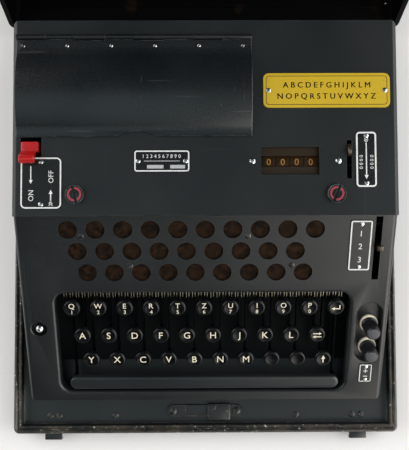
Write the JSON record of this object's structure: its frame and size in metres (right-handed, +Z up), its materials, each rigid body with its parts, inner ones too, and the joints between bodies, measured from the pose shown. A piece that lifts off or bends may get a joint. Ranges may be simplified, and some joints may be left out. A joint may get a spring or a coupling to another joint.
{
  "type": "rotor cipher machine",
  "caption": "Portable rotor cipher machine with keyboard, lamp panel, rotor bay, counter and control levers, in a shallow case base with a deep hinged lid that stands open",
  "frame": {"origin": "centre of the case base's footprint, on the table that its feet stand on", "axes": "+X operator's right, +Y away from the operator towards the lid's hinge, +Z up"},
  "size_m": [0.352, 0.576, 0.3824],
  "materials": {
    "base_paint": "semi-gloss stove enamel, worn at the rim",
    "lid_paint": "semi-gloss stove enamel, matt black inside",
    "housing_paint": "satin grey-black enamel",
    "foot_rubber": "matt",
    "frame_steel": "zinc plated",
    "shaft_steel": "ground steel",
    "board_phenolic": "laminated board, with the transformer's steel core and copper winding",
    "window_brown": "translucent brown plastic",
    "plate_enamel": "enamelled plates, black with white lines and one yellow, with nickel plated screws",
    "terminal_brass": "turned brass with cream collars",
    "lever_red": "gloss red enamel",
    "lever_steel": "browned steel",
    "lock_paint": "dark enamel with a red ring",
    "knob_bakelite": "black moulded resin",
    "rotor_resin": "moulded resin with metal rings",
    "drum_resin": "dark drum with amber figures",
    "key_resin": "black key cap, cream letter, steel lever",
    "bar_enamel": "grey-green enamel"
  },
  "bodies": {
    "root": {"case_base": "base_paint", "case_feet": "foot_rubber", "front_cover": "housing_paint", "top_cover": "housing_paint", "chassis": "frame_steel", "rotor_shaft": "shaft_steel", "electrics": "board_phenolic", "indicator_windows": "window_brown", "terminal_posts": "terminal_brass", "plates_and_screws": "plate_enamel"},
    "case_lid": {"case_lid": "lid_paint"},
    "rotor_cover": {"rotor_cover": "housing_paint"},
    "mode_lever": {"mode_lever": "lever_red"},
    "reset_lever": {"reset_lever": "lever_steel"},
    "power_lever": {"power_lever": "lever_steel"},
    "space_bar": {"space_bar": "bar_enamel"},
    "lock_screw_left": {"lock_screw_left": "lock_paint"},
    "lock_screw_right": {"lock_screw_right": "lock_paint"},
    "terminal_knob_upper": {"terminal_knob_upper": "knob_bakelite"},
    "terminal_knob_lower": {"terminal_knob_lower": "knob_bakelite"},
    "wheel_pair_1": {"wheel_pair_1": "rotor_resin"},
    "wheel_pair_2": {"wheel_pair_2": "rotor_resin"},
    "wheel_pair_3": {"wheel_pair_3": "rotor_resin"},
    "wheel_pair_4": {"wheel_pair_4": "rotor_resin"},
    "wheel_pair_5": {"wheel_pair_5": "rotor_resin"},
    "counter_units": {"counter_units": "drum_resin"},
    "counter_tens": {"counter_tens": "drum_resin"},
    "counter_hundreds": {"counter_hundreds": "drum_resin"},
    "counter_thousands": {"counter_thousands": "drum_resin"},
    "key_q": {"key_q": "key_resin"},
    "key_w": {"key_w": "key_resin"},
    "key_e": {"key_e": "key_resin"},
    "key_r": {"key_r": "key_resin"},
    "key_t": {"key_t": "key_resin"},
    "key_z": {"key_z": "key_resin"},
    "key_u": {"key_u": "key_resin"},
    "key_i": {"key_i": "key_resin"},
    "key_o": {"key_o": "key_resin"},
    "key_p": {"key_p": "key_resin"},
    "key_return": {"key_return": "key_resin"},
    "key_a": {"key_a": "key_resin"},
    "key_s": {"key_s": "key_resin"},
    "key_d": {"key_d": "key_resin"},
    "key_f": {"key_f": "key_resin"},
    "key_g": {"key_g": "key_resin"},
    "key_h": {"key_h": "key_resin"},
    "key_j": {"key_j": "key_resin"},
    "key_k": {"key_k": "key_resin"},
    "key_l": {"key_l": "key_resin"},
    "key_figures": {"key_figures": "key_resin"},
    "key_y": {"key_y": "key_resin"},
    "key_x": {"key_x": "key_resin"},
    "key_c": {"key_c": "key_resin"},
    "key_v": {"key_v": "key_resin"},
    "key_b": {"key_b": "key_resin"},
    "key_n": {"key_n": "key_resin"},
    "key_m": {"key_m": "key_resin"},
    "key_blank_1": {"key_blank_1": "key_resin"},
    "key_blank_2": {"key_blank_2": "key_resin"},
    "key_shift": {"key_shift": "key_resin"}
  },
  "joints": [
    {"name": "lid_swing", "type": "hinge", "parent": "root", "child": "case_lid", "pos_m": [0, 0.188, 0.023], "axis": [-1, 0, 0], "range_deg": [-106, 0]},
    {"name": "rotor_cover_swing", "type": "hinge", "parent": "root", "child": "rotor_cover", "pos_m": [-0.0566, 0.1516, 0.1109], "axis": [-1, 0, 0], "range_deg": [0, 105]},
    {"name": "mode_tilt", "type": "hinge", "parent": "root", "child": "mode_lever", "pos_m": [-0.1393, 0.0635, 0.0867], "axis": [1, 0, 0], "range_deg": [-8, 8]},
    {"name": "reset_pull", "type": "hinge", "parent": "root", "child": "reset_lever", "pos_m": [0.11425, 0.053, 0.0787], "axis": [1, 0, 0], "range_deg": [0, 28], "stiffness_Nm_per_rad": 0.12, "springref_deg": -22.92},
    {"name": "power_tilt", "type": "hinge", "parent": "root", "child": "power_lever", "pos_m": [0.1394, -0.00013, 0.05793], "axis": [1, 0, 0], "range_deg": [-16, 16]},
    {"name": "space_press", "type": "hinge", "parent": "root", "child": "space_bar", "pos_m": [-0.0012, 0.00362, 0.08106], "axis": [1, 0, 0], "range_deg": [0, 2.02], "stiffness_Nm_per_rad": 1.2, "springref_deg": -14.32},
    {"name": "lock_left_turn", "type": "hinge", "parent": "root", "child": "lock_screw_left", "pos_m": [-0.1037, 0.0256, 0.1087], "axis": [0, 0, 1], "range_deg": [0, 90]},
    {"name": "lock_right_turn", "type": "hinge", "parent": "root", "child": "lock_screw_right", "pos_m": [0.1037, 0.0256, 0.1087], "axis": [0, 0, 1], "range_deg": [0, 90]},
    {"name": "terminal_upper_turn", "type": "hinge", "parent": "root", "child": "terminal_knob_upper", "pos_m": [0.1394, -0.08322, 0.06185], "axis": [0, -0.4143, 0.9101], "range_deg": [0, 720]},
    {"name": "terminal_lower_turn", "type": "hinge", "parent": "root", "child": "terminal_knob_lower", "pos_m": [0.1394, -0.10315, 0.05278], "axis": [0, -0.4143, 0.9101], "range_deg": [0, 720]},
    {"name": "wheel_turn_1", "type": "hinge", "parent": "root", "child": "wheel_pair_1", "pos_m": [-0.1248, 0.108, 0.0862], "axis": [1, 0, 0], "continuous": true},
    {"name": "wheel_turn_2", "type": "hinge", "parent": "root", "child": "wheel_pair_2", "pos_m": [-0.0914, 0.108, 0.0862], "axis": [1, 0, 0], "continuous": true},
    {"name": "wheel_turn_3", "type": "hinge", "parent": "root", "child": "wheel_pair_3", "pos_m": [-0.058, 0.108, 0.0862], "axis": [1, 0, 0], "continuous": true},
    {"name": "wheel_turn_4", "type": "hinge", "parent": "root", "child": "wheel_pair_4", "pos_m": [-0.0246, 0.108, 0.0862], "axis": [1, 0, 0], "continuous": true},
    {"name": "wheel_turn_5", "type": "hinge", "parent": "root", "child": "wheel_pair_5", "pos_m": [0.0088, 0.108, 0.0862], "axis": [1, 0, 0], "continuous": true},
    {"name": "counter_units_turn", "type": "hinge", "parent": "root", "child": "counter_units", "pos_m": [0.0842, 0.0519, 0.0907], "axis": [1, 0, 0], "continuous": true},
    {"name": "counter_tens_turn", "type": "hinge", "parent": "root", "child": "counter_tens", "pos_m": [0.073, 0.0519, 0.0907], "axis": [1, 0, 0], "continuous": true},
    {"name": "counter_hundreds_turn", "type": "hinge", "parent": "root", "child": "counter_hundreds", "pos_m": [0.0618, 0.0519, 0.0907], "axis": [1, 0, 0], "continuous": true},
    {"name": "counter_thousands_turn", "type": "hinge", "parent": "root", "child": "counter_thousands", "pos_m": [0.0506, 0.0519, 0.0907], "axis": [1, 0, 0], "continuous": true},
    {"name": "key_q_press", "type": "hinge", "parent": "root", "child": "key_q", "pos_m": [-0.11225, 0.00362, 0.08106], "axis": [1, 0, 0], "range_deg": [0, 4.18], "stiffness_Nm_per_rad": 0.548, "springref_deg": -11.46},
    {"name": "key_w_press", "type": "hinge", "parent": "root", "child": "key_w", "pos_m": [-0.0901, 0.00362, 0.08106], "axis": [1, 0, 0], "range_deg": [0, 4.18], "stiffness_Nm_per_rad": 0.548, "springref_deg": -11.46},
    {"name": "key_e_press", "type": "hinge", "parent": "root", "child": "key_e", "pos_m": [-0.06795, 0.00362, 0.08106], "axis": [1, 0, 0], "range_deg": [0, 4.18], "stiffness_Nm_per_rad": 0.548, "springref_deg": -11.46},
    {"name": "key_r_press", "type": "hinge", "parent": "root", "child": "key_r", "pos_m": [-0.0458, 0.00362, 0.08106], "axis": [1, 0, 0], "range_deg": [0, 4.18], "stiffness_Nm_per_rad": 0.548, "springref_deg": -11.46},
    {"name": "key_t_press", "type": "hinge", "parent": "root", "child": "key_t", "pos_m": [-0.02365, 0.00362, 0.08106], "axis": [1, 0, 0], "range_deg": [0, 4.18], "stiffness_Nm_per_rad": 0.548, "springref_deg": -11.46},
    {"name": "key_z_press", "type": "hinge", "parent": "root", "child": "key_z", "pos_m": [-0.0015, 0.00362, 0.08106], "axis": [1, 0, 0], "range_deg": [0, 4.18], "stiffness_Nm_per_rad": 0.548, "springref_deg": -11.46},
    {"name": "key_u_press", "type": "hinge", "parent": "root", "child": "key_u", "pos_m": [0.02065, 0.00362, 0.08106], "axis": [1, 0, 0], "range_deg": [0, 4.18], "stiffness_Nm_per_rad": 0.548, "springref_deg": -11.46},
    {"name": "key_i_press", "type": "hinge", "parent": "root", "child": "key_i", "pos_m": [0.0428, 0.00362, 0.08106], "axis": [1, 0, 0], "range_deg": [0, 4.18], "stiffness_Nm_per_rad": 0.548, "springref_deg": -11.46},
    {"name": "key_o_press", "type": "hinge", "parent": "root", "child": "key_o", "pos_m": [0.06495, 0.00362, 0.08106], "axis": [1, 0, 0], "range_deg": [0, 4.18], "stiffness_Nm_per_rad": 0.548, "springref_deg": -11.46},
    {"name": "key_p_press", "type": "hinge", "parent": "root", "child": "key_p", "pos_m": [0.0871, 0.00362, 0.08106], "axis": [1, 0, 0], "range_deg": [0, 4.18], "stiffness_Nm_per_rad": 0.548, "springref_deg": -11.46},
    {"name": "key_return_press", "type": "hinge", "parent": "root", "child": "key_return", "pos_m": [0.10925, 0.00362, 0.08106], "axis": [1, 0, 0], "range_deg": [0, 4.18], "stiffness_Nm_per_rad": 0.548, "springref_deg": -11.46},
    {"name": "key_a_press", "type": "hinge", "parent": "root", "child": "key_a", "pos_m": [-0.10468, 0.00362, 0.08106], "axis": [1, 0, 0], "range_deg": [0, 3.03], "stiffness_Nm_per_rad": 0.756, "springref_deg": -11.46},
    {"name": "key_s_press", "type": "hinge", "parent": "root", "child": "key_s", "pos_m": [-0.08253, 0.00362, 0.08106], "axis": [1, 0, 0], "range_deg": [0, 3.03], "stiffness_Nm_per_rad": 0.756, "springref_deg": -11.46},
    {"name": "key_d_press", "type": "hinge", "parent": "root", "child": "key_d", "pos_m": [-0.06037, 0.00362, 0.08106], "axis": [1, 0, 0], "range_deg": [0, 3.03], "stiffness_Nm_per_rad": 0.756, "springref_deg": -11.46},
    {"name": "key_f_press", "type": "hinge", "parent": "root", "child": "key_f", "pos_m": [-0.03823, 0.00362, 0.08106], "axis": [1, 0, 0], "range_deg": [0, 3.03], "stiffness_Nm_per_rad": 0.756, "springref_deg": -11.46},
    {"name": "key_g_press", "type": "hinge", "parent": "root", "child": "key_g", "pos_m": [-0.01607, 0.00362, 0.08106], "axis": [1, 0, 0], "range_deg": [0, 3.03], "stiffness_Nm_per_rad": 0.756, "springref_deg": -11.46},
    {"name": "key_h_press", "type": "hinge", "parent": "root", "child": "key_h", "pos_m": [0.00607, 0.00362, 0.08106], "axis": [1, 0, 0], "range_deg": [0, 3.03], "stiffness_Nm_per_rad": 0.756, "springref_deg": -11.46},
    {"name": "key_j_press", "type": "hinge", "parent": "root", "child": "key_j", "pos_m": [0.02823, 0.00362, 0.08106], "axis": [1, 0, 0], "range_deg": [0, 3.03], "stiffness_Nm_per_rad": 0.756, "springref_deg": -11.46},
    {"name": "key_k_press", "type": "hinge", "parent": "root", "child": "key_k", "pos_m": [0.05038, 0.00362, 0.08106], "axis": [1, 0, 0], "range_deg": [0, 3.03], "stiffness_Nm_per_rad": 0.756, "springref_deg": -11.46},
    {"name": "key_l_press", "type": "hinge", "parent": "root", "child": "key_l", "pos_m": [0.07253, 0.00362, 0.08106], "axis": [1, 0, 0], "range_deg": [0, 3.03], "stiffness_Nm_per_rad": 0.756, "springref_deg": -11.46},
    {"name": "key_figures_press", "type": "hinge", "parent": "root", "child": "key_figures", "pos_m": [0.09467, 0.00362, 0.08106], "axis": [1, 0, 0], "range_deg": [0, 3.03], "stiffness_Nm_per_rad": 0.756, "springref_deg": -11.46},
    {"name": "key_y_press", "type": "hinge", "parent": "root", "child": "key_y", "pos_m": [-0.09838, 0.00362, 0.08106], "axis": [1, 0, 0], "range_deg": [0, 2.43], "stiffness_Nm_per_rad": 0.944, "springref_deg": -11.46},
    {"name": "key_x_press", "type": "hinge", "parent": "root", "child": "key_x", "pos_m": [-0.07623, 0.00362, 0.08106], "axis": [1, 0, 0], "range_deg": [0, 2.43], "stiffness_Nm_per_rad": 0.944, "springref_deg": -11.46},
    {"name": "key_c_press", "type": "hinge", "parent": "root", "child": "key_c", "pos_m": [-0.05407, 0.00362, 0.08106], "axis": [1, 0, 0], "range_deg": [0, 2.43], "stiffness_Nm_per_rad": 0.944, "springref_deg": -11.46},
    {"name": "key_v_press", "type": "hinge", "parent": "root", "child": "key_v", "pos_m": [-0.03193, 0.00362, 0.08106], "axis": [1, 0, 0], "range_deg": [0, 2.43], "stiffness_Nm_per_rad": 0.944, "springref_deg": -11.46},
    {"name": "key_b_press", "type": "hinge", "parent": "root", "child": "key_b", "pos_m": [-0.00978, 0.00362, 0.08106], "axis": [1, 0, 0], "range_deg": [0, 2.43], "stiffness_Nm_per_rad": 0.944, "springref_deg": -11.46},
    {"name": "key_n_press", "type": "hinge", "parent": "root", "child": "key_n", "pos_m": [0.01238, 0.00362, 0.08106], "axis": [1, 0, 0], "range_deg": [0, 2.43], "stiffness_Nm_per_rad": 0.944, "springref_deg": -11.46},
    {"name": "key_m_press", "type": "hinge", "parent": "root", "child": "key_m", "pos_m": [0.03453, 0.00362, 0.08106], "axis": [1, 0, 0], "range_deg": [0, 2.43], "stiffness_Nm_per_rad": 0.944, "springref_deg": -11.46},
    {"name": "key_blank_1_press", "type": "hinge", "parent": "root", "child": "key_blank_1", "pos_m": [0.05668, 0.00362, 0.08106], "axis": [1, 0, 0], "range_deg": [0, 2.43], "stiffness_Nm_per_rad": 0.944, "springref_deg": -11.46},
    {"name": "key_blank_2_press", "type": "hinge", "parent": "root", "child": "key_blank_2", "pos_m": [0.07883, 0.00362, 0.08106], "axis": [1, 0, 0], "range_deg": [0, 2.43], "stiffness_Nm_per_rad": 0.944, "springref_deg": -11.46},
    {"name": "key_shift_press", "type": "hinge", "parent": "root", "child": "key_shift", "pos_m": [0.10097, 0.00362, 0.08106], "axis": [1, 0, 0], "range_deg": [0, 2.43], "stiffness_Nm_per_rad": 0.944, "springref_deg": -11.46}
  ],
  "couplings": [
    {"joint": "counter_tens_turn", "follows": "counter_units_turn", "ratio": 0.1},
    {"joint": "counter_hundreds_turn", "follows": "counter_units_turn", "ratio": 0.01},
    {"joint": "counter_thousands_turn", "follows": "counter_units_turn", "ratio": 0.001}
  ]
}
